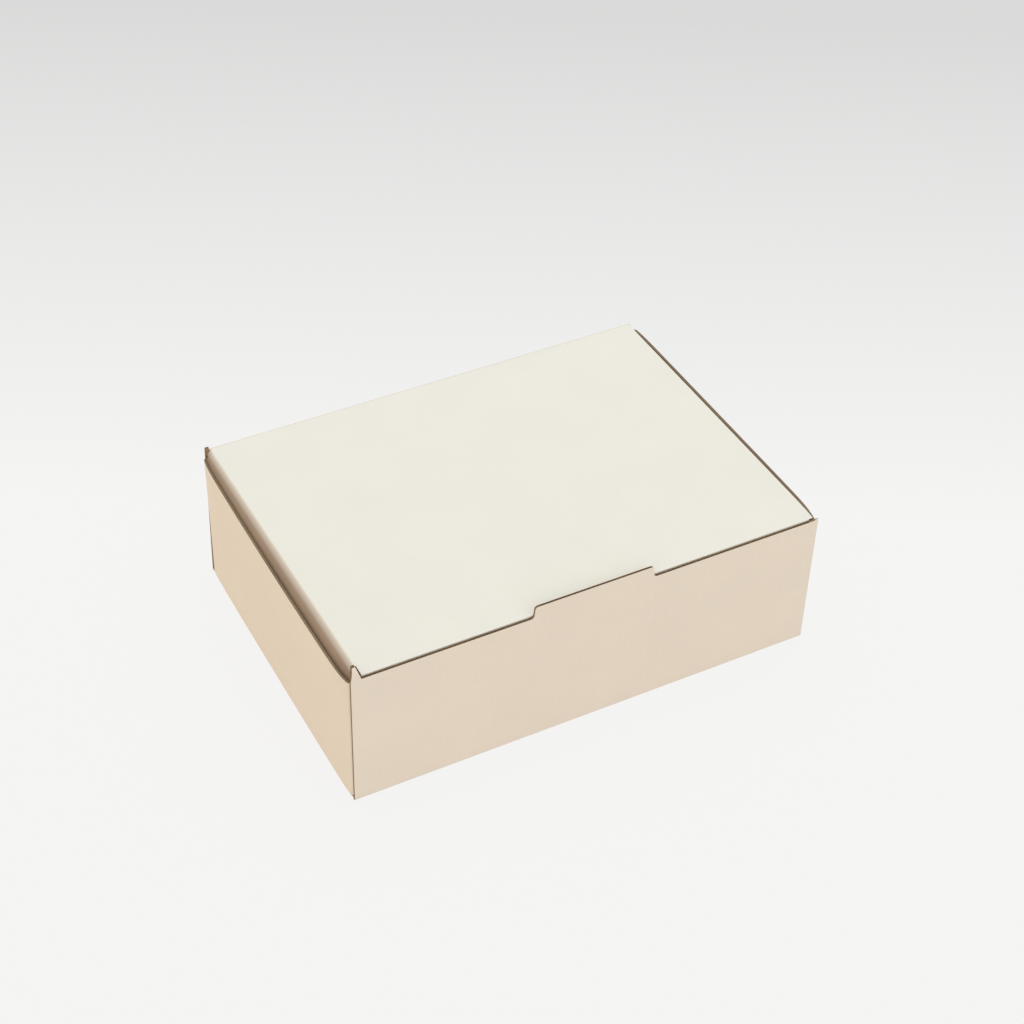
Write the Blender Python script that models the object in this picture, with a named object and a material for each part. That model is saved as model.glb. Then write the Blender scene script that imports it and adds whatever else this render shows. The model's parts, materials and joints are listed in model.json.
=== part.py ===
"""Shipping box: a one-piece die-cut corrugated mailer with a hinged lid, closed.

Every panel is drawn flat, as it is die-cut, with its crease along local X and its reach along
local Y, and is then folded up about that crease. Local Z runs from the outer liner of the board
to the inner one. The box stands on Z = 0, centred on the origin, with its front towards -Y.
"""
import math

import bmesh
import bpy
from mathutils import Matrix, Vector

# Driving dimensions, in metres
BOX_WIDTH = 0.3100
BOX_DEPTH = 0.2225
LID_HEIGHT = 0.1000
BOARD = 0.0016
FOLD_RADIUS = 0.0011
FOLD_SEGMENTS = 3

# Clearances
PANEL_GAP = 0.0003
LID_SIDE_SLACK = 0.0031
LID_FRONT_SLACK = 0.0006
LID_FLAP_END_SLACK = 0.0014
TUCK_SIDE_SLACK = 0.0030

# Front wall: low shoulders between two corner ears, with the tab in the middle
SHOULDER_DROP = 0.0017
TAB_WIDTH = 0.0800
TAB_RISE = 0.0083
TAB_TAPER = 0.0009
TAB_CORNER = 0.0020
EAR_FOOT = 0.0065
EAR_TOP = 0.0036
EAR_RISE = 0.0090
EAR_CORNER = 0.0008

# Back wall: its top edge steps down beside the lid
BACK_END_DROP = 0.0030

# Side walls: cut lower than the lid, with rounded ends to their top edge
SIDE_DROP = 0.0050
SIDE_CORNER = 0.0012

# Glue flaps at the four corners
GLUE_FLAP_LENGTH = 0.0550
GLUE_FLAP_DROP = 0.0200
GLUE_FLAP_TAPER = 0.0090
GLUE_FLAP_CORNER = 0.0060
GLUE_FLAP_LIFT = 0.0010

# Side flaps of the lid: each front end falls square from the crease, then slants back
LID_FLAP_DEPTH = 0.0400
LID_FLAP_LEAN = math.radians(3)
LID_FLAP_SQUARE = 0.0110
LID_FLAP_FRONT_ANGLE = math.radians(60)
LID_FLAP_BACK_ANGLE = math.radians(20)
LID_FLAP_CORNER = 0.0080

# Tuck flap at the front of the lid: its slant leaves room for the side flaps, folded in under it
TUCK_LENGTH = 0.0500
TUCK_LEAN = math.radians(8)
TUCK_TAPER_ANGLE = math.pi / 2 - LID_FLAP_FRONT_ANGLE
TUCK_CORNER = 0.0120

ARC_STEPS = 6

# Points nearer than this are one point, and faces that turn less than this are one face
SAME_PLACE = 1e-6
SAME_FACE = math.radians(0.1)

# White-lined board: linear colour and roughness
BOARD_FINISH = ((0.83, 0.79, 0.71), 0.75)

# Places that follow from the dimensions
HALF_WIDTH = BOX_WIDTH / 2
HALF_DEPTH = BOX_DEPTH / 2
LID_INSET = BOARD + LID_SIDE_SLACK
LID_HALF_WIDTH = HALF_WIDTH - LID_INSET
LID_FRONT = -HALF_DEPTH + BOARD + LID_FRONT_SLACK
LID_UNDERSIDE = LID_HEIGHT - BOARD
SHOULDER_HEIGHT = LID_HEIGHT - SHOULDER_DROP
BACK_END_HEIGHT = LID_HEIGHT - BACK_END_DROP
SIDE_HEIGHT = LID_HEIGHT - SIDE_DROP
GLUE_FLAP_HEIGHT = LID_HEIGHT - GLUE_FLAP_DROP
SIDE_HALF_LENGTH = HALF_DEPTH - BOARD - PANEL_GAP

UP = Vector((0, 0, 1))
DOWN = Vector((0, 0, -1))
RIGHT = Vector((1, 0, 0))
LEFT = Vector((-1, 0, 0))
BACK = Vector((0, 1, 0))
FRONT = Vector((0, -1, 0))


def clear_scene():
    for item in list(bpy.context.scene.objects):
        bpy.data.objects.remove(item, do_unlink=True)


def board_material(name, colour, roughness):
    material = bpy.data.materials.new(name)
    material.use_nodes = True
    shader = material.node_tree.nodes["Principled BSDF"]
    shader.inputs["Base Color"].default_value = (*colour, 1)
    shader.inputs["Roughness"].default_value = roughness
    shader.inputs["Metallic"].default_value = 0.0
    return material


def rounded_outline(corners):
    """Points of a closed outline; a corner is (x, y, radius), and its round part is an arc."""
    points = []
    count = len(corners)
    for index, (x, y, radius) in enumerate(corners):
        corner = Vector((x, y))
        if radius == 0:
            points.append(corner)
            continue
        before = (Vector(corners[index - 1][:2]) - corner).normalized()
        after = (Vector(corners[(index + 1) % count][:2]) - corner).normalized()
        half_angle = before.angle(after) / 2
        tangent = radius / math.tan(half_angle)
        centre = corner + (before + after).normalized() * radius / math.sin(half_angle)
        start = corner + before * tangent - centre
        turn = start.angle_signed(corner + after * tangent - centre)
        for step in range(ARC_STEPS + 1):
            points.append(centre + Matrix.Rotation(-turn * step / ARC_STEPS, 2) @ start)
    return points


def flat_board(name, corners, outer_z, collection):
    """A flat piece of board: the outline filled and given the board's thickness."""
    curve = bpy.data.curves.new(name, "CURVE")
    curve.dimensions = "2D"
    curve.fill_mode = "BOTH"
    curve.extrude = BOARD / 2
    points = rounded_outline(corners)
    spline = curve.splines.new("POLY")
    spline.points.add(len(points) - 1)
    for point, place in zip(spline.points, points):
        point.co = (place.x, place.y, 0, 1)
    spline.use_cyclic_u = True
    outline = bpy.data.objects.new(name + "_outline", curve)
    collection.objects.link(outline)
    outline.location.z = outer_z + BOARD / 2
    bpy.context.view_layer.update()
    evaluated = outline.evaluated_get(bpy.context.evaluated_depsgraph_get())
    mesh = bpy.data.meshes.new_from_object(evaluated)
    mesh.transform(outline.matrix_world)
    bpy.data.objects.remove(outline, do_unlink=True)
    mesh.name = name
    board = bmesh.new()
    board.from_mesh(mesh)
    bmesh.ops.remove_doubles(board, verts=board.verts, dist=SAME_PLACE)
    bmesh.ops.dissolve_limit(board, angle_limit=SAME_FACE, verts=board.verts, edges=board.edges)
    bmesh.ops.recalc_face_normals(board, faces=board.faces)
    board.to_mesh(mesh)
    board.free()
    panel = bpy.data.objects.new(name, mesh)
    collection.objects.link(panel)
    return panel


def rounded_edges(board, folds, outer_z):
    """Edges of the outer face that lie along the given folds."""
    chosen = []
    for edge in board.edges:
        for direction, offset in folds:
            places = [abs(Vector(vertex.co[:2]).dot(direction) - offset) for vertex in edge.verts]
            heights = [abs(vertex.co.z - outer_z) for vertex in edge.verts]
            if max(places + heights) < SAME_PLACE:
                chosen.append(edge)
                break
    return chosen


def shape_folds(panel, outer_z, mitred=(), plain=()):
    """Rounds the outer edge at each fold, and cuts a mitred fold back at 45 degrees inside.

    A fold is the direction that leads across it, and how far out along it the crease lies.
    """
    board = bmesh.new()
    board.from_mesh(panel.data)
    edges = rounded_edges(board, list(mitred) + list(plain), outer_z)
    bmesh.ops.bevel(
        board, geom=edges, offset=FOLD_RADIUS, segments=FOLD_SEGMENTS, profile=0.5, affect="EDGES"
    )
    for direction, offset in mitred:
        normal = Vector((*direction, 1)).normalized()
        crease = Vector((*(Vector(direction) * offset), outer_z))
        cut = bmesh.ops.bisect_plane(
            board,
            geom=board.verts[:] + board.edges[:] + board.faces[:],
            plane_co=crease - normal * PANEL_GAP / 2,
            plane_no=normal,
            clear_outer=True,
        )
        rim = [item for item in cut["geom_cut"] if isinstance(item, bmesh.types.BMEdge)]
        bmesh.ops.holes_fill(board, edges=rim, sides=0)
    bmesh.ops.recalc_face_normals(board, faces=board.faces)
    board.to_mesh(panel.data)
    board.free()


def fold_up(panel, crease, reach, inner, parent):
    """Stands a flat panel on its crease: it reaches one way and its inner liner faces the other."""
    turned = Matrix((reach.cross(inner), reach, inner)).transposed()
    panel.location = crease
    panel.rotation_euler = turned.to_euler()
    bpy.context.view_layer.update()
    if parent is not None:
        panel.parent = parent
        panel.matrix_parent_inverse = parent.matrix_world.inverted()
        bpy.context.view_layer.update()
    colour, roughness = BOARD_FINISH
    panel.data.materials.append(board_material(panel.name + "_board", colour, roughness))


def build_base(collection):
    bpy.ops.mesh.primitive_cube_add(size=1, location=(0, 0, BOARD / 2))
    base = bpy.context.active_object
    base.name = "base_panel"
    base.scale = (BOX_WIDTH, BOX_DEPTH, BOARD)
    bpy.ops.object.transform_apply(location=True, rotation=False, scale=True)
    for owner in list(base.users_collection):
        owner.objects.unlink(base)
    collection.objects.link(base)
    sides = (((1, 0), HALF_WIDTH), ((-1, 0), HALF_WIDTH), ((0, 1), HALF_DEPTH), ((0, -1), HALF_DEPTH))
    shape_folds(base, 0, mitred=sides)
    fold_up(base, Vector((0, 0, 0)), BACK, UP, None)
    return base


def mirrored(corners):
    """The right half of an outline, bottom to top, followed by its mirror image."""
    return corners + [(-x, y, radius) for x, y, radius in reversed(corners)]


def build_front_wall(collection, base):
    ear_height = SHOULDER_HEIGHT + EAR_RISE
    tab_height = SHOULDER_HEIGHT + TAB_RISE
    half = [
        (HALF_WIDTH, 0, 0),
        (HALF_WIDTH, ear_height, EAR_CORNER),
        (HALF_WIDTH - EAR_TOP, ear_height, EAR_CORNER),
        (HALF_WIDTH - EAR_FOOT, SHOULDER_HEIGHT, EAR_CORNER),
        (TAB_WIDTH / 2, SHOULDER_HEIGHT, TAB_CORNER),
        (TAB_WIDTH / 2 - TAB_TAPER, tab_height, TAB_CORNER),
    ]
    wall = flat_board("front_wall", mirrored(half), 0, collection)
    shape_folds(wall, 0, mitred=[((0, -1), 0)])
    fold_up(wall, Vector((0, -HALF_DEPTH, 0)), UP, BACK, base)


def build_back_wall(collection, base):
    half = [
        (HALF_WIDTH, 0, 0),
        (HALF_WIDTH, BACK_END_HEIGHT, EAR_CORNER),
        (LID_HALF_WIDTH, BACK_END_HEIGHT, 0),
        (LID_HALF_WIDTH, LID_HEIGHT, 0),
    ]
    wall = flat_board("back_wall", mirrored(half), 0, collection)
    shape_folds(wall, 0, mitred=[((0, -1), 0), ((0, 1), LID_HEIGHT)])
    fold_up(wall, Vector((0, HALF_DEPTH, 0)), UP, FRONT, base)
    return wall


def build_side_wall(name, inner, collection, base):
    half = [(SIDE_HALF_LENGTH, 0, 0), (SIDE_HALF_LENGTH, SIDE_HEIGHT, SIDE_CORNER)]
    wall = flat_board(name, mirrored(half), 0, collection)
    ends = [((1, 0), SIDE_HALF_LENGTH), ((-1, 0), SIDE_HALF_LENGTH)]
    shape_folds(wall, 0, mitred=[((0, -1), 0)] + ends)
    fold_up(wall, -inner * HALF_WIDTH, UP, inner, base)
    return wall


def build_glue_flap(name, reach, inner, collection, wall):
    """A corner flap of a side wall, folded flat behind the front wall or the back wall."""
    up = reach.x * inner.y
    foot = BOARD + GLUE_FLAP_LIFT
    corners = [
        (up * foot, 0, 0),
        (up * GLUE_FLAP_HEIGHT, 0, 0),
        (up * (GLUE_FLAP_HEIGHT - GLUE_FLAP_TAPER), GLUE_FLAP_LENGTH, GLUE_FLAP_CORNER),
        (up * (foot + GLUE_FLAP_TAPER), GLUE_FLAP_LENGTH, GLUE_FLAP_CORNER),
    ]
    flap = flat_board(name, corners, 0, collection)
    shape_folds(flap, 0, mitred=[((0, -1), 0)])
    crease = -reach * HALF_WIDTH - inner * SIDE_HALF_LENGTH
    fold_up(flap, crease, reach, inner, wall)


def build_lid_panel(collection, back_wall):
    depth = HALF_DEPTH - LID_FRONT
    half = [(LID_HALF_WIDTH, 0, 0), (LID_HALF_WIDTH, depth, 0)]
    lid = flat_board("lid_panel", mirrored(half), 0, collection)
    creases = [((1, 0), LID_HALF_WIDTH), ((-1, 0), LID_HALF_WIDTH), ((0, 1), depth)]
    shape_folds(lid, 0, mitred=[((0, -1), 0)], plain=creases)
    fold_up(lid, Vector((0, HALF_DEPTH, LID_HEIGHT)), FRONT, DOWN, back_wall)
    return lid


def leaning(inner, angle):
    """Directions of a flap that hangs from the lid, its foot leaning in by an angle."""
    reach = DOWN * math.cos(angle) + inner * math.sin(angle)
    face = inner * math.cos(angle) + UP * math.sin(angle)
    return reach, face


def build_tuck_flap(collection, lid):
    top_half = LID_HALF_WIDTH - LID_FLAP_SQUARE - TUCK_SIDE_SLACK
    foot_half = top_half - (TUCK_LENGTH - PANEL_GAP) * math.tan(TUCK_TAPER_ANGLE)
    half = [(top_half, PANEL_GAP, 0), (foot_half, TUCK_LENGTH, TUCK_CORNER)]
    flap = flat_board("tuck_flap", mirrored(half), -BOARD, collection)
    shape_folds(flap, -BOARD, plain=[((0, -1), -PANEL_GAP)])
    reach, inner = leaning(BACK, TUCK_LEAN)
    fold_up(flap, Vector((0, LID_FRONT + BOARD, LID_UNDERSIDE)), reach, inner, lid)


def build_lid_flap(name, inner, collection, lid):
    front = inner.x
    end_top = HALF_DEPTH - BOARD - LID_FLAP_END_SLACK
    slant = (LID_FLAP_DEPTH - LID_FLAP_SQUARE) * math.tan(LID_FLAP_FRONT_ANGLE)
    back_foot = end_top - (LID_FLAP_DEPTH - PANEL_GAP) * math.tan(LID_FLAP_BACK_ANGLE)
    corners = [
        (front * end_top, PANEL_GAP, 0),
        (front * end_top, LID_FLAP_SQUARE, 0),
        (front * (end_top - slant), LID_FLAP_DEPTH, LID_FLAP_CORNER),
        (-front * back_foot, LID_FLAP_DEPTH, LID_FLAP_CORNER),
        (-front * end_top, PANEL_GAP, 0),
    ]
    flap = flat_board(name, corners, -BOARD, collection)
    shape_folds(flap, -BOARD, plain=[((0, -1), -PANEL_GAP)])
    reach, face = leaning(inner, LID_FLAP_LEAN)
    crease = -inner * (LID_HALF_WIDTH - BOARD) + UP * LID_UNDERSIDE
    fold_up(flap, crease, reach, face, lid)


def build_box():
    clear_scene()
    collection = bpy.data.collections.new("shipping_box")
    bpy.context.scene.collection.children.link(collection)
    base = build_base(collection)
    build_front_wall(collection, base)
    back_wall = build_back_wall(collection, base)
    for side, inner in (("left", RIGHT), ("right", LEFT)):
        wall = build_side_wall(side + "_wall", inner, collection, base)
        build_glue_flap("front_" + side + "_glue_flap", inner, BACK, collection, wall)
        build_glue_flap("back_" + side + "_glue_flap", inner, FRONT, collection, wall)
    lid = build_lid_panel(collection, back_wall)
    build_tuck_flap(collection, lid)
    for side, inner in (("left", RIGHT), ("right", LEFT)):
        build_lid_flap(side + "_lid_flap", inner, collection, lid)


build_box()
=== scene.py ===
"""The looks of a closed corrugated mailer: every panel as real board, two liners on a fluted core.

Each panel's outline is read from its node of the frame. A cut across the flutes shows the open
wave, a cut along them shows crushed paper, and each crease is a piece of its own that carries the
liners round the fold.
"""

import json
import math

import bmesh
import bpy
from mathutils import Matrix, Vector, noise

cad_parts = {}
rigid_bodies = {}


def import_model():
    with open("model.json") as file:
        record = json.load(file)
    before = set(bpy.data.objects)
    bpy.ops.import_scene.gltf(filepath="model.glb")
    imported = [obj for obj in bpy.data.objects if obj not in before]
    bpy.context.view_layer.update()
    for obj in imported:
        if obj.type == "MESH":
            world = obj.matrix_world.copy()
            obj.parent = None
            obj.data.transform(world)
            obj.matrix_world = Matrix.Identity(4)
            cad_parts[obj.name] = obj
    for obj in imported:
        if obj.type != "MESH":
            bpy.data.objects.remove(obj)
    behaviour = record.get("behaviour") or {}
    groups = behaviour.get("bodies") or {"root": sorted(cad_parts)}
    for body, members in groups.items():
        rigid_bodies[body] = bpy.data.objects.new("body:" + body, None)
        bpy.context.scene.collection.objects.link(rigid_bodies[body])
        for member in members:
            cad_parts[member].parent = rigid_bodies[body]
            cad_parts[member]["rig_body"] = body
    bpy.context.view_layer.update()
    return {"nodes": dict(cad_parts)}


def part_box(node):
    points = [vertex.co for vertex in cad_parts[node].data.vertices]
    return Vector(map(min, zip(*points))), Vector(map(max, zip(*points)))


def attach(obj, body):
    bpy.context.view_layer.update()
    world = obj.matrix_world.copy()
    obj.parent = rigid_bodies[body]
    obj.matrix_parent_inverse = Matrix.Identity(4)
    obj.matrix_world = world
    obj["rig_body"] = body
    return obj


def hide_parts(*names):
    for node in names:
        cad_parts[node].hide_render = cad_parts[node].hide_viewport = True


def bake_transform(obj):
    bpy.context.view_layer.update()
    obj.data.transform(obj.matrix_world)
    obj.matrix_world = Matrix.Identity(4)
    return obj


UP = Vector((0, 0, 1))
DOWN = Vector((0, 0, -1))
RIGHT = Vector((1, 0, 0))
LEFT = Vector((-1, 0, 0))
BACK = Vector((0, 1, 0))
FRONT = Vector((0, -1, 0))

# Board, in metres: E-flute, a wave of fluting between two liners
LINER = 0.00022
FLUTING = 0.00013
FLUTE_PITCH = 0.0034
FLUTE_STEPS = 8

# Mesh: how far apart the lines lie that cut a panel, closer where it bends more
GRID = 0.015
FINE_GRID = 0.005
CLOSE_GRID = 0.0015
EAR_GRID = 0.001
SHARP = math.radians(35)

# Cut edges: the die presses the liners in, and crushes the fluting where it cuts along it
PRESS_REACH = 0.0006
PRESS_DEPTH = 0.00006
RIM_INSET = 0.00008
RIM_DEPTH = 0.0006
RIM_ROUGHNESS = 0.00007
RIM_GRAIN = 0.0012
RIM_STEP = 0.0015
RIM_ROWS = 3
RIM_SLOPE = 0.35

# Creases: each kind's outer radius and how far from its corner it reaches, then the groove of the
# score beside a tight one, and the thin skin over the lid's hinge
TIGHT_RADIUS = 0.0011
TIGHT_REACH = 0.0019
CORNER_RADIUS = 0.0026
CORNER_REACH = 0.0030
SOFT_RADIUS = 0.0024
SOFT_REACH = 0.0034
TUCK_RADIUS = 0.0004
SCORE_PLACE = 0.0015
SCORE_DEPTH = 0.00005
BEND_STEPS = 8
SKIN = 0.00015
SKIN_LIFT = 0.00003

# The side walls bow outwards, most at their top edge, and come back to their drawn place, as their
# rise does, at their ends
BOW = {-1: 0.00315, 1: 0.0006}
BOW_AT_FOOT = 0.41
BOW_CENTRE = -0.016
BOW_REACH = 0.110
BOW_DROP = 0.3
CORNER_POWER = 16

# The right wall stands higher: its rise at the back and at the front, the height where it begins,
# and how deep a side wall is, in board thicknesses from the outside
WALL_RISE = {-1: (0, 0), 1: (0.0010, 0.0038)}
RISE_FROM = 0.080
WALL_DEPTH = 1.1

# The back wall's left end stands higher and its right end lower, each by a step that takes up this
# share of what shows beside the lid, and both are drawn in
END_RISE = {-1: 0.0034, 1: -0.0025}
END_STEP = 0.15
END_INSET = 0.0016

# The ears of the front wall: their size, then how far they lean back, drop, are pulled in and are
# squeezed towards their outer edge, and the thickness of their tips against the board's
EAR_WIDTH = 0.007
EAR_HEIGHT = 0.0090
EAR_TIP = 0.0036
EAR_LEAN = {-1: 0.0030, 1: 0.0004}
EAR_DROP = {-1: 0.0014, 1: 0.0084}
EAR_PULL = {-1: 0.0022, 1: 0}
EAR_INNER_PULL = 0.3
EAR_SQUEEZE = {-1: 0, 1: 0.57}
EAR_SQUEEZE_RATE = 4
EAR_THICKNESS = {-1: 1.4, 1: 0.4}
EAR_THICKNESS_RATE = 2

# The lid lies askew: how far right its left and its right side lie, at the back and at the front.
# Its front edge dips
LID_SLIDE = {-1: (-0.0010, 0.0008), 1: (0.0002, 0.0026)}
LID_DIP = 0.0010
LID_DIP_REACH = 0.025

# The left lid flap springs out to its wall: how far below the lid it starts, over what height it
# comes out, how far, and how much of the wall's bow it follows
FLAP_START = 0.0013
FLAP_SPRING = 0.0095
FLAP_OUT = 0.0038
FLAP_FOLLOWS = 0.9

# The notch in the lid's front left corner, behind the ear
NOTCH_WIDTH = 0.0020
NOTCH_DEPTH = 0.0073

# Reading the frame: what counts as one point, one flat face, the face that looks a given way, a
# corner that belongs to a fold, and an end that reaches its node's own end
SAME_PLACE = 1e-6
SAME_FACE = math.radians(0.1)
SAME_WAY = 0.9
NEAR_FOLD = 0.0045
SNAP = 0.0015

# Colours, linear
LID_CREAM = (0.847, 0.846, 0.774)
# The tray's cream is the lid's board with painted shade and painted warm side light: darker and
# warmer than the lid
SHADED_WALL_CREAM = (0.840, 0.755, 0.640)
KRAFT = (0.400, 0.270, 0.155)
KRAFT_CUT = (0.270, 0.195, 0.125)
KRAFT_DARK = (0.200, 0.135, 0.080)
# Painted shade: the lid flaps' kraft brown stands in for the shadow in the gap beside the left wall
FLAP_SHADE_BROWN = (0.370, 0.280, 0.205)
FLUTING_SHADE = 0.8
FLOOR_NEAR = (0.915, 0.915, 0.910)
FLOOR_FAR = (0.690, 0.690, 0.690)
FLOOR_SHADE = (0.070, 0.070, 0.070)
FLOOR_BOUNCE = (0.750, 0.730, 0.700)
BACKGROUND = (0.708, 0.708, 0.708)

# Paper: the scale of its clouds, pulp, fibres and flecks, and the part of each noise that shows
CLOUD_SCALE = 28
PULP_SCALE = 420
FIBRE_SCALE = 900
FLECK_SCALE = 1500
FIBRE_STRETCH = (1, 0.16, 1)
PULP_RANGE = (0.3, 0.7)
FIBRE_RANGE = (0.25, 0.75)
FLECK_RANGE = (0.70, 0.78)
PORE_DEPTH = 0.00002
FIBRE_DEPTH = 0.00001
ROUGHNESS_SWING = 0.07
GLOSS_LEVEL = 0.25

# Flutes that show through: radians per unit of a wave texture of scale 1, and how they waver
WAVE_RADIANS = 20
WAVE_WAVER = 0.4
WAVE_WAVER_SCALE = 40

# The painted shade across the left crease: where its fade from the lid's cream to the flaps' brown
# starts and ends, measured round the crease from the lid
FADE_START = 0.0017
FADE_END = 0.0054

# Floor: its half width, and its tone as it is seen, by distance away from the photo's camera
FLOOR_SIZE = 6
FLOOR_SEGMENTS = 24
FLOOR_GLOW = 0.92
FLOOR_NEAR_AT = 0.09
FLOOR_FAR_AT = 0.77

# Light: a soft dome that is warmer on the left, a floor that glows as it would in a light tent,
# and two wide lamps
WORLD_PLAIN = (0.80, 0.80, 0.80)
WORLD_WARM = (1.0, 0.80, 0.59)
WORLD_LEVEL = 1.045
FLOOR_LIT = 0.68
FLOOR_BOUNCED = 0.45
TOP_PLACE = Vector((0.3, 0.5, 2.2))
TOP_SIZE = 2.0
TOP_POWER = 8.9
TOP_TINT = (0.75, 0.88, 1.0)
FRONT_PLACE = Vector((0.4, -2.2, 0.9))
FRONT_SIZE = 1.6
FRONT_POWER = 2.8
FRONT_TINT = (0.88, 0.93, 1.0)

# Camera, fitted to the photo's corners
CAMERA_AZIMUTH = math.radians(-28.83)
CAMERA_ELEVATION = math.radians(41.15)
CAMERA_ROLL = math.radians(1.8)
CAMERA_DISTANCE = 1.377
CAMERA_TARGET = Vector((0.0183, 0.0249, 0.0501))
CAMERA_LENS = 75.83
SENSOR_WIDTH = 36.0

# Panels: the way that the outer liner faces, and the way that the flutes run
PANELS = {
    "base_panel": (DOWN, BACK),
    "front_wall": (FRONT, UP),
    "back_wall": (BACK, UP),
    "left_wall": (LEFT, BACK),
    "right_wall": (RIGHT, BACK),
    "front_left_glue_flap": (FRONT, RIGHT),
    "front_right_glue_flap": (FRONT, RIGHT),
    "back_left_glue_flap": (BACK, RIGHT),
    "back_right_glue_flap": (BACK, RIGHT),
    "lid_panel": (UP, BACK),
    "tuck_flap": (FRONT, UP),
    "left_lid_flap": (LEFT, BACK),
    "right_lid_flap": (RIGHT, BACK),
}

# Panels that lie flat and need few rows, and those that bend and need their liners cut closely
FLAT_PANELS = (
    "base_panel", "front_wall",
    "front_left_glue_flap", "front_right_glue_flap",
    "back_left_glue_flap", "back_right_glue_flap",
)
CLOSE_PANELS = ("left_lid_flap", "back_wall")

# The lid's side flaps are painted kraft brown outside, as painted shade for the gap beside the left
# wall: the white face gives way to it across the left crease
OUTER_LINERS = {
    "lid_panel": "lid", "tuck_flap": "lid", "left_lid_flap": "flap", "right_lid_flap": "flap",
}

# Fixed creases: the two panels, and whether its start and its end follow the longer of their edges
FIXED_FOLDS = (
    ("base_panel", "front_wall", True, True),
    ("base_panel", "back_wall", True, True),
    ("base_panel", "left_wall", False, True),
    ("base_panel", "right_wall", False, True),
    ("left_wall", "front_left_glue_flap", True, True),
    ("left_wall", "back_left_glue_flap", True, True),
    ("right_wall", "front_right_glue_flap", True, True),
    ("right_wall", "back_right_glue_flap", True, True),
)


def faces_of(geometry):
    return [item for item in geometry if isinstance(item, bmesh.types.BMFace)]


def with_borders(faces):
    """Faces with their own edges and corners, as the cutting tool wants them."""
    edges = {edge for face in faces for edge in face.edges}
    verts = {vert for face in faces for vert in face.verts}
    return list(verts) + list(edges) + list(faces)


def side_of(place):
    """-1 for a point on the left half of the box, 1 on the right."""
    return -1 if place.x < 0 else 1


def ear_climb(place):
    """How high up an ear of the front wall a point lies, from 0 at its foot to 1 at its top."""
    beside = abs(place.x) > half_width - EAR_WIDTH and place.y < -wall_end
    return max(0, (place.z - ear_foot) / EAR_HEIGHT) if beside else 0


def board_at(place):
    """The board's thickness at a point of a panel's outer face."""
    share = min(1, EAR_THICKNESS_RATE * ear_climb(place))
    return board * (1 - share * (1 - EAR_THICKNESS[side_of(place)]))


def forward(place):
    """How far forward a point lies, from 0 at the back wall to 1 at the front wall."""
    return 0.5 - place.y / (2 * half_depth)


def between(ends, share):
    """The value that lies a share of the way from the first of two ends to the second."""
    return ends[0] + (ends[1] - ends[0]) * share


def short_of_corner(place):
    """How much a side wall settles: all of it along most of its length, nothing at its ends."""
    return max(0, 1 - abs(place.y / wall_end) ** CORNER_POWER)


def bow_at(place):
    """How far a side wall's top edge stands out beside a point."""
    away = (place.y - BOW_CENTRE) / BOW_REACH
    return BOW[side_of(place)] * (1 - BOW_DROP * away ** 2) * short_of_corner(place)


def tray_shift(place):
    """How far a point of the tray lies from where it is drawn."""
    side = side_of(place)
    high = max(0, (place.z - RISE_FROM) / (wall_top - RISE_FROM))
    if place.y < -wall_end:
        climb = ear_climb(place)
        outer = max(0, abs(place.x) - half_width + EAR_TIP) / EAR_TIP
        pull = EAR_PULL[side] * climb * between((EAR_INNER_PULL, 1), outer)
        squeezed = EAR_SQUEEZE[side] * min(1, EAR_SQUEEZE_RATE * climb)
        squeeze = squeezed * (half_width - abs(place.x))
        shift = BACK * EAR_LEAN[side] * climb ** 2 + DOWN * EAR_DROP[side] * climb
        return shift + RIGHT * side * (squeeze - pull)
    if place.y > wall_end:
        beyond = max(0, (abs(place.x) - lid_edge) / (half_width - lid_edge))
        inset = LEFT * side * END_INSET * beyond * place.z / wall_top
        return inset + UP * END_RISE[side] * min(1, beyond / END_STEP) * high ** 2
    if abs(place.x) < wall_inside:
        return Vector()
    lean = BOW_AT_FOOT + (1 - BOW_AT_FOOT) * (place.z / wall_top) ** 2
    rise = between(WALL_RISE[side], forward(place)) * high ** 2 * short_of_corner(place)
    return RIGHT * side * bow_at(place) * lean + UP * rise


def lid_shift(place):
    """How far a point of the lid or its flaps lies from where it is drawn."""
    left = between(LID_SLIDE[-1], forward(place))
    right = between(LID_SLIDE[1], forward(place))
    slide = between((left, right), 0.5 + place.x / (2 * lid_edge))
    dip = max(0, 1 - (place.y + half_depth) / LID_DIP_REACH)
    shift = RIGHT * slide + DOWN * LID_DIP * dip ** 2
    if place.x < -flap_line:
        spring = (lid_top - FLAP_START - place.z) / FLAP_SPRING
        spring = max(0, min(1, spring))
        out = FLAP_OUT + FLAP_FOLLOWS * bow_at(place)
        shift += LEFT * out * (1 - (1 - spring) ** 2)
    return shift


def settled(body, place):
    """How the folded board settles: how far a point of a body lies from where it is drawn."""
    return tray_shift(place) if body == "tray" else lid_shift(place)


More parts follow.
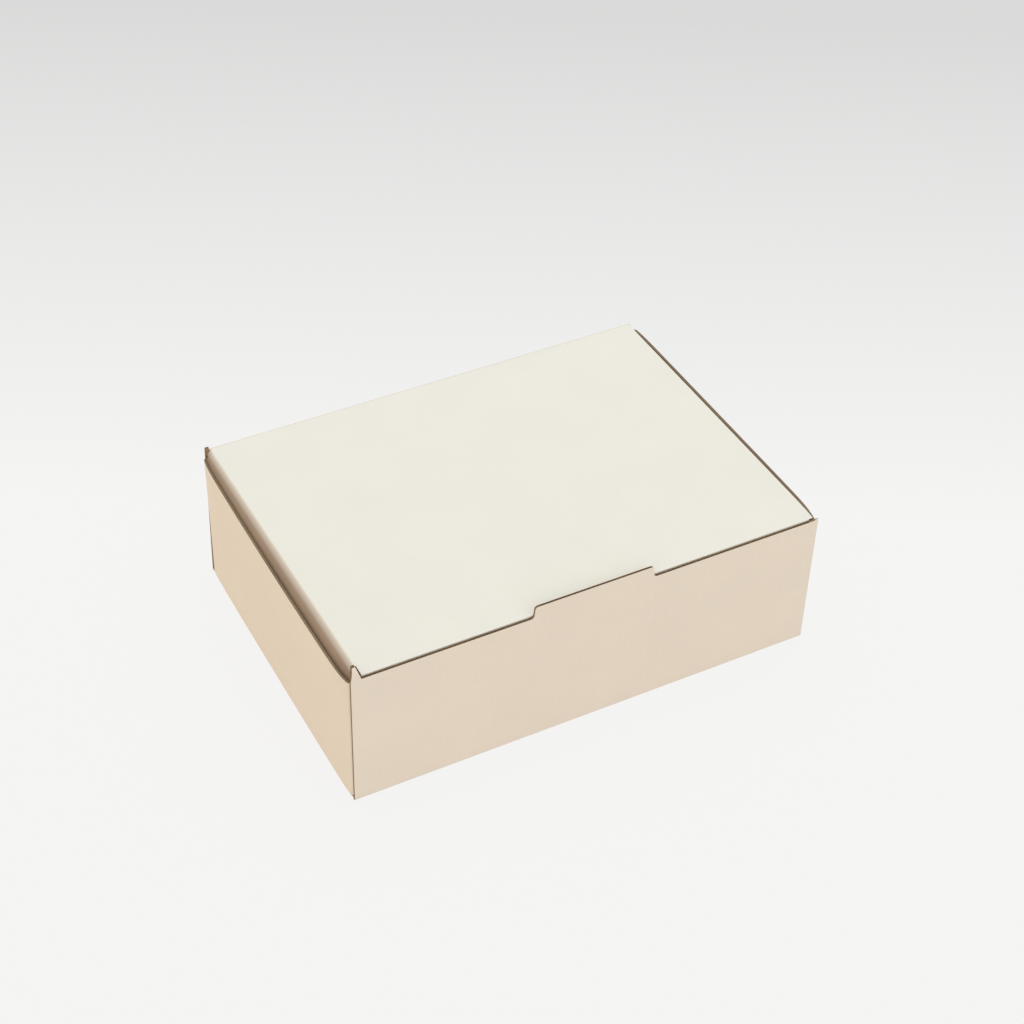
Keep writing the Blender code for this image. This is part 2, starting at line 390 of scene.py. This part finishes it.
class Panel:
    """A panel's outer face, read from its node, and the directions along and across its flutes."""

    def __init__(self, name, facing, flutes):
        self.name = name
        self.body = frame["nodes"][name]["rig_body"]
        self.seams = []
        solid = bmesh.new()
        solid.from_mesh(frame["nodes"][name].data)
        bmesh.ops.remove_doubles(solid, verts=solid.verts, dist=SAME_PLACE)
        bmesh.ops.dissolve_limit(
            solid, angle_limit=SAME_FACE, verts=solid.verts, edges=solid.edges
        )
        seen = [face for face in solid.faces if face.normal.dot(facing) > SAME_WAY]
        face = max(seen, key=lambda item: item.calc_area())
        self.normal = face.normal.copy()
        self.centre = face.calc_center_median().copy()
        self.along = (flutes - self.normal * flutes.dot(self.normal)).normalized()
        self.across = self.along.cross(self.normal)
        self.sheet = bmesh.new()
        self.sheet.faces.new([self.sheet.verts.new(vert.co) for vert in face.verts])
        self.sheet.normal_update()
        solid.free()

    def cut(self, point, direction):
        """Cuts the whole panel through a point, square to a direction."""
        everything = self.sheet.verts[:] + self.sheet.edges[:] + self.sheet.faces[:]
        bmesh.ops.bisect_plane(
            self.sheet, geom=everything, plane_co=point, plane_no=direction, dist=SAME_PLACE
        )

    def notch(self, point, ways):
        """Takes out the corner of the panel that lies past a point in each of two ways."""
        for way in ways:
            self.cut(point, way)
        gone = [
            face for face in self.sheet.faces
            if all((face.calc_center_median() - point).dot(way) > 0 for way in ways)
        ]
        bmesh.ops.delete(self.sheet, geom=gone, context="FACES")

    def span(self, corner, inward, direction):
        """Where the panel's edge beside a fold starts and ends, along the fold."""
        near = [
            vert.co.dot(direction) for vert in self.sheet.verts
            if (vert.co - corner).dot(inward) < NEAR_FOLD
        ]
        low, high = min(near), max(near)
        lowest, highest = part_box(self.name)
        if low - lowest.dot(direction) < SNAP:
            low = min(low, lowest.dot(direction))
        if highest.dot(direction) - high < SNAP:
            high = max(high, highest.dot(direction))
        return low, high

    def clear(self, corner, inward, direction, low, high, reach):
        """Takes the strip beside a fold out of the panel: the crease's own piece fills it."""
        self.cut(corner + inward * reach, inward)
        along = direction * direction.dot(corner)
        self.cut(corner - along + direction * low, direction)
        self.cut(corner - along + direction * high, direction)
        gone = []
        for face in self.sheet.faces:
            centre = face.calc_center_median()
            beside = (centre - corner).dot(inward) < reach
            if beside and low < centre.dot(direction) < high:
                gone.append(face)
        bmesh.ops.delete(self.sheet, geom=gone, context="FACES")
        bmesh.ops.dissolve_limit(
            self.sheet, angle_limit=SAME_FACE, verts=self.sheet.verts, edges=self.sheet.edges
        )
        self.seams.append((corner + inward * reach, inward, direction, low, high))

    def is_free(self, edge):
        """Whether an edge of the sheet is a cut edge of the board, not a seam to a crease."""
        middle = (edge.verts[0].co + edge.verts[1].co) / 2
        for point, inward, direction, low, high in self.seams:
            beside = abs((middle - point).dot(inward)) < SAME_PLACE
            if beside and low < middle.dot(direction) < high:
                return False
        return edge.is_boundary

    def lay(self, spot, depth):
        """Where a point at a depth below a spot of the outer face really lies."""
        return spot - self.normal * depth + settled(self.body, spot)


class Fold:
    """A crease between two panels: its corner line, where it runs, and its cross-section.

    It starts and ends with the shorter or the longer of their edges, or starts at a given place.
    """

    def __init__(self, first, second, radius, reach, longer_low, longer_high, start=None):
        self.first = panels[first]
        self.second = panels[second]
        self.name = second + "_crease"
        self.radius = radius
        self.reach = reach
        one, two = self.first.normal, self.second.normal
        line = one.cross(two).normalized()
        self.line = line if sum(line) > 0 else -line
        level_one = one.dot(self.first.centre)
        level_two = two.dot(self.second.centre)
        shared = one.dot(two)
        weight = 1 - shared * shared
        self.corner = one * ((level_one - shared * level_two) / weight)
        self.corner += two * ((level_two - shared * level_one) / weight)
        self.into_first = self.into(self.first)
        self.into_second = self.into(self.second)
        self.half_angle = self.into_first.angle(self.into_second) / 2
        self.middle = (self.into_first + self.into_second).normalized()
        edge_one = self.first.span(self.corner, self.into_first, self.line)
        edge_two = self.second.span(self.corner, self.into_second, self.line)
        self.low = (min if longer_low else max)(edge_one[0], edge_two[0])
        if start is not None:
            self.low = start
        self.high = (max if longer_high else min)(edge_one[1], edge_two[1])
        self.first.clear(self.corner, self.into_first, self.line, self.low, self.high, reach)
        self.second.clear(self.corner, self.into_second, self.line, self.low, self.high, reach)

    def into(self, panel):
        """The direction from the corner line into a panel, in the panel's own plane."""
        inward = panel.centre - self.corner
        inward -= self.line * inward.dot(self.line)
        inward -= panel.normal * inward.dot(panel.normal)
        return inward.normalized()

    def bend(self, lift=0):
        """The arc round the corner, from the first panel's side to the second's."""
        hub = self.corner + self.middle * self.radius / math.sin(self.half_angle)
        start, end = self.first.normal, self.second.normal
        points = []
        for step in range(BEND_STEPS + 1):
            points.append(hub + start.slerp(end, step / BEND_STEPS) * (self.radius + lift))
        return points

    def shoulder(self, panel, inward):
        """The outer liner beside the bend: where the panel starts, then the groove of the score."""
        start = self.corner + inward * self.reach
        if self.reach > TIGHT_REACH:
            return [start]
        return [start, self.corner + inward * SCORE_PLACE - panel.normal * SCORE_DEPTH]

    def inner_end(self, panel, inward):
        """Where the crease meets a panel's inner face."""
        return self.corner + inward * self.reach - panel.normal * board

    def inner_corner(self):
        """Where the two panels' inner faces would meet."""
        return self.corner + self.middle * board / math.sin(self.half_angle)


def shade(mesh):
    mesh.shade_smooth()
    mesh.set_sharp_from_angle(angle=SHARP)


def new_piece(name, mesh, materials):
    """An object for a mesh, with its materials in order."""
    piece = bpy.data.objects.new(name, mesh)
    bpy.context.scene.collection.objects.link(piece)
    for material in materials:
        mesh.materials.append(material)
    return piece


def thicken(piece, thickness, offset):
    """Gives a sheet its thickness, with its rim and its hidden side in their own materials."""
    solidify = piece.modifiers.new("thickness", "SOLIDIFY")
    solidify.thickness = thickness
    solidify.offset = offset
    slots = len(piece.data.materials)
    solidify.material_offset_rim = min(1, slots - 1)
    solidify.material_offset = min(2, slots - 1)
    bpy.context.view_layer.update()
    graph = bpy.context.evaluated_depsgraph_get()
    solid = bpy.data.meshes.new_from_object(piece.evaluated_get(graph))
    piece.modifiers.clear()
    piece.data = solid
    shade(solid)


def grid_places(sheet, direction, pitch):
    """Evenly spaced places along a direction, from one end of a sheet to the other."""
    reach = [vert.co.dot(direction) for vert in sheet.verts]
    counts = range(math.ceil(min(reach) / pitch), math.floor(max(reach) / pitch) + 1)
    return [count * pitch for count in counts]


def slice_sheet(sheet, direction, places):
    """Cuts a sheet along lines square to a direction, at places in rising order."""
    ahead = sheet.faces[:]
    for place in places:
        result = bmesh.ops.bisect_plane(
            sheet, geom=with_borders(ahead), plane_co=direction * place,
            plane_no=direction, dist=SAME_PLACE,
        )
        ahead = [
            face for face in faces_of(result["geom"])
            if face.calc_center_median().dot(direction) > place
        ]


def row_pitch(name):
    """How far apart a panel's rows lie: closer where the panel bends more."""
    if name in FLAT_PANELS:
        return GRID
    return CLOSE_GRID if name == "left_wall" else FINE_GRID


def sheet_mesh(panel, name, pitch, depth_at, press):
    """A layer of a panel: its outline cut in a grid and laid at a depth below the outer face."""
    sheet = panel.sheet.copy()
    if press != 0:
        bmesh.ops.inset_region(
            sheet, faces=sheet.faces[:], thickness=PRESS_REACH,
            use_boundary=True, use_even_offset=True,
        )
    rows = grid_places(sheet, panel.along, row_pitch(panel.name))
    if panel.name == "front_wall":
        rows += [ear_foot + EAR_GRID * count for count in range(round(EAR_HEIGHT / EAR_GRID))]
    slice_sheet(sheet, panel.along, sorted(rows))
    slice_sheet(sheet, panel.across, grid_places(sheet, panel.across, pitch))
    places = sheet.loops.layers.uv.new("board")
    for face in sheet.faces:
        for loop in face.loops:
            spot = loop.vert.co
            loop[places].uv = (spot.dot(panel.across), spot.dot(panel.along))
    pressed = {vert for edge in sheet.edges if panel.is_free(edge) for vert in edge.verts}
    for vert in sheet.verts:
        depth = depth_at(vert.co) + (press if vert in pressed else 0)
        vert.co = panel.lay(vert.co, depth)
    mesh = bpy.data.meshes.new(name)
    sheet.to_mesh(mesh)
    sheet.free()
    return mesh


def make_board(panel, liner):
    """The three layers of a panel: outer liner, fluting and inner liner."""
    def wave(spot):
        thickness = board_at(spot)
        swing = thickness / 2 - LINER - FLUTING / 2
        return thickness / 2 + swing * math.cos(math.tau * spot.dot(panel.across) / FLUTE_PITCH)

    grid = CLOSE_GRID if panel.name in CLOSE_PANELS else GRID
    name = panel.name + "_outer_liner"
    mesh = sheet_mesh(panel, name, grid, lambda spot: 0, PRESS_DEPTH)
    outer = new_piece(name, mesh, (liner, looks["cut"], looks["kraft"]))
    thicken(outer, LINER, -1)
    name = panel.name + "_fluting"
    mesh = sheet_mesh(panel, name, FLUTE_PITCH / FLUTE_STEPS, wave, 0)
    core = new_piece(name, mesh, (looks["fluting"],))
    thicken(core, FLUTING, 0)
    name = panel.name + "_inner_liner"
    mesh = sheet_mesh(panel, name, grid, board_at, -PRESS_DEPTH)
    mesh.flip_normals()
    inner = new_piece(name, mesh, (looks["kraft"], looks["cut"], looks["kraft"]))
    thicken(inner, LINER, -1)
    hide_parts(panel.name)
    for piece in (outer, core, inner):
        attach(piece, panel.body)


def rim_runs(panel):
    """The cut edges that follow the flutes, as runs of points with the panel on their left."""
    after = {}
    for edge in panel.sheet.edges:
        if panel.is_free(edge):
            start = edge.link_loops[0].vert
            end = edge.other_vert(start)
            way = (end.co - start.co).normalized()
            if abs(way.dot(panel.along)) > RIM_SLOPE:
                after[start] = end
    runs = []
    for vert in [vert for vert in after if vert not in set(after.values())]:
        run = [vert.co.copy()]
        while vert in after:
            vert = after[vert]
            run.append(vert.co.copy())
        runs.append(run)
    return runs


def even_steps(run):
    """A run of points with more points between them where they lie far apart."""
    points = [run[0]]
    for start, end in zip(run, run[1:]):
        count = max(1, round((end - start).length / RIM_STEP))
        points += [start.lerp(end, step / count) for step in range(1, count + 1)]
    return points


def rim_section(panel, spot, inward):
    """A cut through a rim: its rough face and its hidden one, each from liner to liner."""
    face, hidden = [], []
    gap = board_at(spot) - 2 * LINER
    for row in range(RIM_ROWS + 1):
        place = panel.lay(spot, LINER + gap * row / RIM_ROWS)
        rough = RIM_ROUGHNESS * noise.noise(place / RIM_GRAIN)
        face.append(place + inward * (RIM_INSET + rough))
        hidden.append(place + inward * (RIM_INSET + RIM_DEPTH))
    return face + hidden[::-1]


def make_rim(panel):
    """Crushed fluting that closes the board where the die cuts along the flutes."""
    rim = bmesh.new()
    places = rim.loops.layers.uv.new("board")
    for run in rim_runs(panel):
        points = even_steps(run)
        sections = []
        for index, spot in enumerate(points):
            before = points[max(0, index - 1)]
            after = points[min(len(points) - 1, index + 1)]
            inward = panel.normal.cross(after - before).normalized()
            sections.append([rim.verts.new(place) for place in rim_section(panel, spot, inward)])
        count = len(sections[0])
        for one, two in zip(sections, sections[1:]):
            for index in range(count):
                next_index = (index + 1) % count
                rim.faces.new((one[index], one[next_index], two[next_index], two[index]))
        for end in (sections[0], sections[-1]):
            for row in range(RIM_ROWS):
                rim.faces.new((end[row], end[row + 1], end[count - 2 - row], end[count - 1 - row]))
    if not rim.faces:
        rim.free()
        return
    bmesh.ops.recalc_face_normals(rim, faces=rim.faces)
    for face in rim.faces:
        for loop in face.loops:
            spot = loop.vert.co
            loop[places].uv = (spot.dot(panel.across) + spot.dot(panel.normal), spot.dot(panel.along))
    mesh = bpy.data.meshes.new(panel.name + "_rim")
    rim.to_mesh(mesh)
    rim.free()
    piece = new_piece(panel.name + "_rim", mesh, (looks["cut"],))
    shade(mesh)
    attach(piece, panel.body)


def sweep(fold, name, body, section, spots, materials, inner_from):
    """A solid strip: a closed section carried along the fold, its inner faces from a point on.

    Each point of the section settles as its spot on the outer face does.
    """
    count = max(1, round((fold.high - fold.low) / CLOSE_GRID))
    strip = bmesh.new()
    places = strip.loops.layers.uv.new("board")
    offset = fold.line * fold.corner.dot(fold.line)
    rows = []
    for step in range(count + 1):
        place = fold.line * (fold.low + (fold.high - fold.low) * step / count) - offset
        rows.append([
            strip.verts.new(point + place + settled(body, spot + place))
            for point, spot in zip(section, spots)
        ])
    lengths = [0]
    for point, after in zip(section, section[1:] + section[:1]):
        lengths.append(lengths[-1] + (after - point).length)
    for step in range(count):
        for index in range(len(section)):
            after = (index + 1) % len(section)
            corners = (
                rows[step][index], rows[step][after], rows[step + 1][after], rows[step + 1][index]
            )
            face = strip.faces.new(corners)
            face.material_index = 1 if index >= inner_from else 0
            for loop, around in zip(face.loops, (index, index + 1, index + 1, index)):
                loop[places].uv = (lengths[around], loop.vert.co.dot(fold.line))
    for row in (rows[0], rows[-1]):
        cap = strip.faces.new(row)
        cap.material_index = 2
    bmesh.ops.recalc_face_normals(strip, faces=strip.faces)
    mesh = bpy.data.meshes.new(name)
    strip.to_mesh(mesh)
    strip.free()
    piece = new_piece(name, mesh, materials)
    shade(mesh)
    return piece


def make_crease(fold, liner):
    """The whole bend: outer liner round the corner, inner liner back along the inside."""
    outer = fold.shoulder(fold.first, fold.into_first)
    outer += fold.bend()
    outer += fold.shoulder(fold.second, fold.into_second)[::-1]
    inner = [
        fold.inner_end(fold.second, fold.into_second),
        fold.inner_corner(),
        fold.inner_end(fold.first, fold.into_first),
    ]
    spots = outer + [outer[-1], outer[len(outer) // 2], outer[0]]
    materials = (liner, looks["kraft"], looks["cut"])
    body = fold.first.body
    return sweep(fold, fold.name, body, outer + inner, spots, materials, len(outer) - 1)


def make_fixed_crease(fold):
    """A crease between two panels of the tray, which never turns."""
    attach(make_crease(fold, looks["wall"]), fold.first.body)


def make_moving_crease(fold, liner):
    """A crease across a joint, made in its closed shape."""
    piece = make_crease(fold, liner)
    start = fold.inner_end(fold.first, fold.into_first)
    end = fold.inner_end(fold.second, fold.into_second)
    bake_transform(piece)


def make_hinge(fold, shaded_wall_liner, lid_liner):
    """The lid's hinge: a mitred end on each panel, and the outer liner bending across both."""
    bend = fold.bend()
    half = BEND_STEPS // 2
    sides = (
        (fold.first, fold.into_first, bend[:half + 1], shaded_wall_liner),
        (fold.second, fold.into_second, bend[half:][::-1], lid_liner),
    )
    for panel, inward, arc, liner in sides:
        outer = fold.shoulder(panel, inward) + arc
        section = outer + [fold.inner_corner(), fold.inner_end(panel, inward)]
        spots = outer + [outer[-1], outer[0]]
        name = panel.name + "_hinge_edge"
        materials = (liner, looks["kraft"], looks["cut"])
        edge = sweep(fold, name, panel.body, section, spots, materials, len(outer) - 1)
        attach(edge, panel.body)
    section = fold.bend(SKIN_LIFT) + fold.bend(SKIN_LIFT - SKIN)[::-1]
    materials = (shaded_wall_liner, looks["kraft"], looks["cut"])
    body = fold.second.body
    skin = sweep(fold, "lid_hinge_skin", body, section, section, materials, BEND_STEPS)
    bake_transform(skin)


def node(tree, kind, **values):
    """A new node of a material, with its settings."""
    item = tree.nodes.new(kind)
    for key, value in values.items():
        setattr(item, key, value)
    return item


def noise_texture(tree, source, scale, detail, stretch=(1, 1, 1)):
    mapping = node(tree, "ShaderNodeMapping")
    mapping.inputs["Scale"].default_value = stretch
    tree.links.new(source, mapping.inputs["Vector"])
    texture = node(tree, "ShaderNodeTexNoise")
    texture.inputs["Scale"].default_value = scale
    texture.inputs["Detail"].default_value = detail
    tree.links.new(mapping.outputs["Vector"], texture.inputs["Vector"])
    return texture.outputs["Fac"]


def ramp(tree, source, low, high, low_colour, high_colour):
    """A colour that runs from one to another as a value runs from low to high."""
    item = node(tree, "ShaderNodeValToRGB")
    item.color_ramp.elements[0].position = low
    item.color_ramp.elements[0].color = (*low_colour, 1)
    item.color_ramp.elements[1].position = high
    item.color_ramp.elements[1].color = (*high_colour, 1)
    tree.links.new(source, item.inputs["Fac"])
    return item.outputs["Color"]


def scaled(colour, share):
    return tuple(value * share for value in colour)


def tinted(tree, first, second):
    """One colour multiplied by another."""
    item = node(tree, "ShaderNodeMix", data_type="RGBA", blend_type="MULTIPLY")
    item.inputs["Factor"].default_value = 1
    tree.links.new(first, item.inputs["A"])
    tree.links.new(second, item.inputs["B"])
    return item.outputs["Result"]


def bump(tree, source, height, base=None):
    item = node(tree, "ShaderNodeBump")
    item.inputs["Distance"].default_value = height
    tree.links.new(source, item.inputs["Height"])
    if base is not None:
        tree.links.new(base, item.inputs["Normal"])
    return item.outputs["Normal"]


def painted_shade_tint(tree, board_place):
    """A tint of painted shade that turns the white face into the flaps' brown across the crease
    beside it.
    """
    across = node(tree, "ShaderNodeSeparateXYZ")
    tree.links.new(board_place, across.inputs["Vector"])
    share = node(tree, "ShaderNodeMapRange")
    share.inputs["From Min"].default_value = FADE_START
    share.inputs["From Max"].default_value = FADE_END
    tree.links.new(across.outputs["X"], share.inputs["Value"])
    shade_ratio = tuple(under / over for under, over in zip(FLAP_SHADE_BROWN, LID_CREAM))
    return ramp(tree, share.outputs["Result"], 0, 1, (1, 1, 1), shade_ratio)


def paper(name, colour, fleck, fleck_share, mottle, washboard, roughness, fades_to_shade=False):
    """Paper: mottled pulp, fine fibres, flecks, and the flutes faintly telegraphing through."""
    material = bpy.data.materials.new(name)
    material.use_nodes = True
    tree = material.node_tree
    shader = tree.nodes["Principled BSDF"]
    place = node(tree, "ShaderNodeTexCoord").outputs["Object"]
    board_place = node(tree, "ShaderNodeUVMap", uv_map="board").outputs["UV"]
    cloud = noise_texture(tree, place, CLOUD_SCALE, detail=3)
    pulp = noise_texture(tree, place, PULP_SCALE, detail=4)
    fibre = noise_texture(tree, board_place, FIBRE_SCALE, detail=3, stretch=FIBRE_STRETCH)
    specks = noise_texture(tree, place, FLECK_SCALE, detail=2)
    darker = (1 - mottle,) * 3
    base = ramp(tree, cloud, *PULP_RANGE, scaled(colour, 1 - mottle), scaled(colour, 1 + mottle))
    grain = ramp(tree, pulp, *PULP_RANGE, darker, (1, 1, 1))
    thread = ramp(tree, fibre, *FIBRE_RANGE, darker, (1, 1, 1))
    dots = ramp(tree, specks, *FLECK_RANGE, (0, 0, 0), (fleck_share,) * 3)
    toned = tinted(tree, tinted(tree, base, grain), thread)
    # Painted shade: a fading liner runs to the flaps' brown across the crease
    if fades_to_shade:
        toned = tinted(tree, toned, painted_shade_tint(tree, board_place))
    flecked = node(tree, "ShaderNodeMix", data_type="RGBA")
    tree.links.new(dots, flecked.inputs["Factor"])
    tree.links.new(toned, flecked.inputs["A"])
    flecked.inputs["B"].default_value = (*fleck, 1)
    tree.links.new(flecked.outputs["Result"], shader.inputs["Base Color"])
    rough = node(tree, "ShaderNodeMapRange")
    rough.inputs["To Min"].default_value = roughness - ROUGHNESS_SWING
    rough.inputs["To Max"].default_value = roughness + ROUGHNESS_SWING
    tree.links.new(pulp, rough.inputs["Value"])
    tree.links.new(rough.outputs["Result"], shader.inputs["Roughness"])
    waves = node(tree, "ShaderNodeTexWave", wave_type="BANDS", bands_direction="X")
    waves.inputs["Scale"].default_value = math.tau / FLUTE_PITCH / WAVE_RADIANS
    waves.inputs["Distortion"].default_value = WAVE_WAVER
    waves.inputs["Detail Scale"].default_value = WAVE_WAVER_SCALE
    tree.links.new(board_place, waves.inputs["Vector"])
    ridges = bump(tree, waves.outputs["Fac"], washboard)
    pores = bump(tree, pulp, PORE_DEPTH, ridges)
    tree.links.new(bump(tree, fibre, FIBRE_DEPTH, pores), shader.inputs["Normal"])
    shader.inputs["Specular IOR Level"].default_value = GLOSS_LEVEL
    return material


def seen_directly(tree):
    """1 for rays from the camera and in reflections, 0 for those that carry light."""
    path = node(tree, "ShaderNodeLightPath")
    either = node(tree, "ShaderNodeMath", operation="MAXIMUM")
    tree.links.new(path.outputs["Is Camera Ray"], either.inputs[0])
    tree.links.new(path.outputs["Is Glossy Ray"], either.inputs[1])
    return either.outputs["Value"]


def switched(tree, light, seen):
    """One shader for the light that it gives, another for how it looks."""
    switch = node(tree, "ShaderNodeMixShader")
    tree.links.new(seen_directly(tree), switch.inputs["Fac"])
    tree.links.new(light, switch.inputs[1])
    tree.links.new(seen, switch.inputs[2])
    return switch.outputs["Shader"]


def matt_glow(tree, matt, glow_level):
    """A matt surface that also glows. Gives the shader, and the socket for the glow's colour."""
    surface = node(tree, "ShaderNodeBsdfDiffuse")
    surface.inputs["Color"].default_value = (*matt, 1)
    glow = node(tree, "ShaderNodeEmission")
    glow.inputs["Strength"].default_value = glow_level
    both = node(tree, "ShaderNodeAddShader")
    tree.links.new(glow.outputs["Emission"], both.inputs[0])
    tree.links.new(surface.outputs["BSDF"], both.inputs[1])
    return both.outputs["Shader"], glow.inputs["Color"]


def build_floor():
    """A wide pale floor: the camera sees its studio tone, and the box's soft shadow on it."""
    floor_mesh = bpy.data.meshes.new("floor")
    sheet = bmesh.new()
    bmesh.ops.create_grid(
        sheet, x_segments=FLOOR_SEGMENTS, y_segments=FLOOR_SEGMENTS, size=FLOOR_SIZE
    )
    sheet.to_mesh(floor_mesh)
    sheet.free()
    floor = bpy.data.objects.new("floor", floor_mesh)
    bpy.context.scene.collection.objects.link(floor)
    material = bpy.data.materials.new("studio_floor")
    material.use_nodes = True
    tree = material.node_tree
    tree.nodes.clear()
    away = node(tree, "ShaderNodeVectorMath", operation="DOT_PRODUCT")
    tree.links.new(node(tree, "ShaderNodeTexCoord").outputs["Object"], away.inputs[0])
    away.inputs[1].default_value = (-math.sin(CAMERA_AZIMUTH), math.cos(CAMERA_AZIMUTH), 0)
    depth = node(tree, "ShaderNodeMapRange")
    depth.inputs["From Min"].default_value = FLOOR_NEAR_AT
    depth.inputs["From Max"].default_value = FLOOR_FAR_AT
    tree.links.new(away.outputs["Value"], depth.inputs["Value"])
    seen, seen_tone = matt_glow(tree, FLOOR_SHADE, FLOOR_GLOW)
    tree.links.new(ramp(tree, depth.outputs["Result"], 0, 1, FLOOR_NEAR, FLOOR_FAR), seen_tone)
    light, light_tone = matt_glow(tree, scaled(FLOOR_BOUNCE, FLOOR_BOUNCED), FLOOR_LIT)
    light_tone.default_value = (*FLOOR_BOUNCE, 1)
    output = node(tree, "ShaderNodeOutputMaterial")
    tree.links.new(switched(tree, light, seen), output.inputs["Surface"])
    floor_mesh.materials.append(material)


def area_lamp(name, place, size, power, colour):
    """A round lamp that shines at the box."""
    lamp = bpy.data.lights.new(name, "AREA")
    lamp.shape = "DISK"
    lamp.size = size
    lamp.energy = power
    lamp.color = colour
    holder = bpy.data.objects.new(name, lamp)
    holder.location = place
    holder.rotation_euler = (CAMERA_TARGET - place).to_track_quat("-Z", "Y").to_euler()
    bpy.context.scene.collection.objects.link(holder)


def build_light():
    world = bpy.data.worlds.new("studio")
    bpy.context.scene.world = world
    world.use_nodes = True
    tree = world.node_tree
    leftward = node(tree, "ShaderNodeVectorMath", operation="DOT_PRODUCT")
    tree.links.new(node(tree, "ShaderNodeTexCoord").outputs["Generated"], leftward.inputs[0])
    leftward.inputs[1].default_value = LEFT
    light = tree.nodes["Background"]
    light.inputs["Strength"].default_value = WORLD_LEVEL
    tone = ramp(tree, leftward.outputs["Value"], 0, 1, WORLD_PLAIN, WORLD_WARM)
    tree.links.new(tone, light.inputs["Color"])
    seen = node(tree, "ShaderNodeBackground")
    seen.inputs["Color"].default_value = (*BACKGROUND, 1)
    shader = switched(tree, light.outputs["Background"], seen.outputs["Background"])
    tree.links.new(shader, tree.nodes["World Output"].inputs["Surface"])
    area_lamp("top_lamp", TOP_PLACE, TOP_SIZE, TOP_POWER, TOP_TINT)
    area_lamp("front_lamp", FRONT_PLACE, FRONT_SIZE, FRONT_POWER, FRONT_TINT)


def build_camera():
    lens = bpy.data.cameras.new("photo_camera")
    lens.sensor_fit = "HORIZONTAL"
    lens.sensor_width = SENSOR_WIDTH
    lens.lens = CAMERA_LENS
    holder = bpy.data.objects.new("photo_camera", lens)
    bpy.context.scene.collection.objects.link(holder)
    level = math.cos(CAMERA_ELEVATION)
    away = Vector((
        math.sin(CAMERA_AZIMUTH) * level, -math.cos(CAMERA_AZIMUTH) * level,
        math.sin(CAMERA_ELEVATION),
    ))
    side = UP.cross(away).normalized()
    turn = Matrix((side, away.cross(side), away)).transposed().to_4x4()
    place = Matrix.Translation(CAMERA_TARGET + away * CAMERA_DISTANCE)
    holder.matrix_world = place @ turn @ Matrix.Rotation(CAMERA_ROLL, 4, "Z")
    bpy.context.scene.camera = holder


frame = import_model()

# Measures read from the nodes
base_low, base_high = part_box("base_panel")
board = base_high.z - base_low.z
half_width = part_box("front_wall")[1].x
half_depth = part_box("back_wall")[1].y
wall_inside = half_width - WALL_DEPTH * board
wall_end = half_depth - board - PRESS_DEPTH
wall_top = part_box("left_wall")[1].z
ear_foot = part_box("front_wall")[1].z - EAR_HEIGHT
lid_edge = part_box("lid_panel")[1].x
lid_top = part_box("lid_panel")[1].z
flap_line = lid_edge - SOFT_RADIUS

looks = {
    "lid": paper(
        "lid_liner", LID_CREAM, KRAFT,
        fleck_share=0.10, mottle=0.010, washboard=0.00003, roughness=0.66,
    ),
    # The left crease's liner, faded to brown across the crease as painted shade
    "fading": paper(
        "shade_fading_liner", LID_CREAM, KRAFT,
        fleck_share=0.10, mottle=0.010, washboard=0.00003, roughness=0.66, fades_to_shade=True,
    ),
    # The tray's liner: the lid's board, with painted shade and painted warm side light in its colour
    "wall": paper(
        "shaded_wall_liner", SHADED_WALL_CREAM, KRAFT,
        fleck_share=0.12, mottle=0.012, washboard=0.00003, roughness=0.68,
    ),
    # The lid flaps' outer face, kraft brown as painted shade
    "flap": paper(
        "shaded_flap_liner", FLAP_SHADE_BROWN, KRAFT_DARK,
        fleck_share=0.45, mottle=0.05, washboard=0.00004, roughness=0.80,
    ),
    "kraft": paper(
        "kraft_liner", KRAFT, KRAFT_DARK,
        fleck_share=0.55, mottle=0.06, washboard=0.00006, roughness=0.82,
    ),
    "fluting": paper(
        "kraft_fluting", scaled(KRAFT, FLUTING_SHADE), KRAFT_DARK,
        fleck_share=0.5, mottle=0.08, washboard=0, roughness=0.88,
    ),
    "cut": paper(
        "cut_edge", KRAFT_CUT, KRAFT_DARK,
        fleck_share=0.5, mottle=0.10, washboard=0, roughness=0.92,
    ),
}

# Panels and folds: each fold takes its strip out of its two panels, so the order counts
panels = {name: Panel(name, *ways) for name, ways in PANELS.items()}
lid_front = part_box("lid_panel")[0].y
notch_at = Vector((NOTCH_WIDTH - lid_edge, lid_front + NOTCH_DEPTH, lid_top))
panels["lid_panel"].notch(notch_at, (LEFT, FRONT))

folds = []
for first, second, low, high in FIXED_FOLDS:
    tight = first == "base_panel"
    radius = TIGHT_RADIUS if tight else CORNER_RADIUS
    reach = TIGHT_REACH if tight else CORNER_REACH
    folds.append(Fold(first, second, radius, reach, low, high))
hinge = Fold("back_wall", "lid_panel", TIGHT_RADIUS, TIGHT_REACH, False, False)
left = Fold("lid_panel", "left_lid_flap", SOFT_RADIUS, SOFT_REACH, False, True, notch_at.y)
right = Fold("lid_panel", "right_lid_flap", TIGHT_RADIUS, SOFT_REACH, True, True)
tuck = Fold("lid_panel", "tuck_flap", TUCK_RADIUS, SOFT_REACH, True, True)

# Pieces
for name, panel in panels.items():
    make_board(panel, looks[OUTER_LINERS.get(name, "wall")])
    make_rim(panel)
for fold in folds:
    make_fixed_crease(fold)
make_moving_crease(left, looks["fading"])
make_moving_crease(right, looks["lid"])
make_moving_crease(tuck, looks["lid"])
make_hinge(hinge, looks["wall"], looks["lid"])

build_floor()
build_light()
build_camera()
bpy.context.scene.view_settings.view_transform = "Standard"
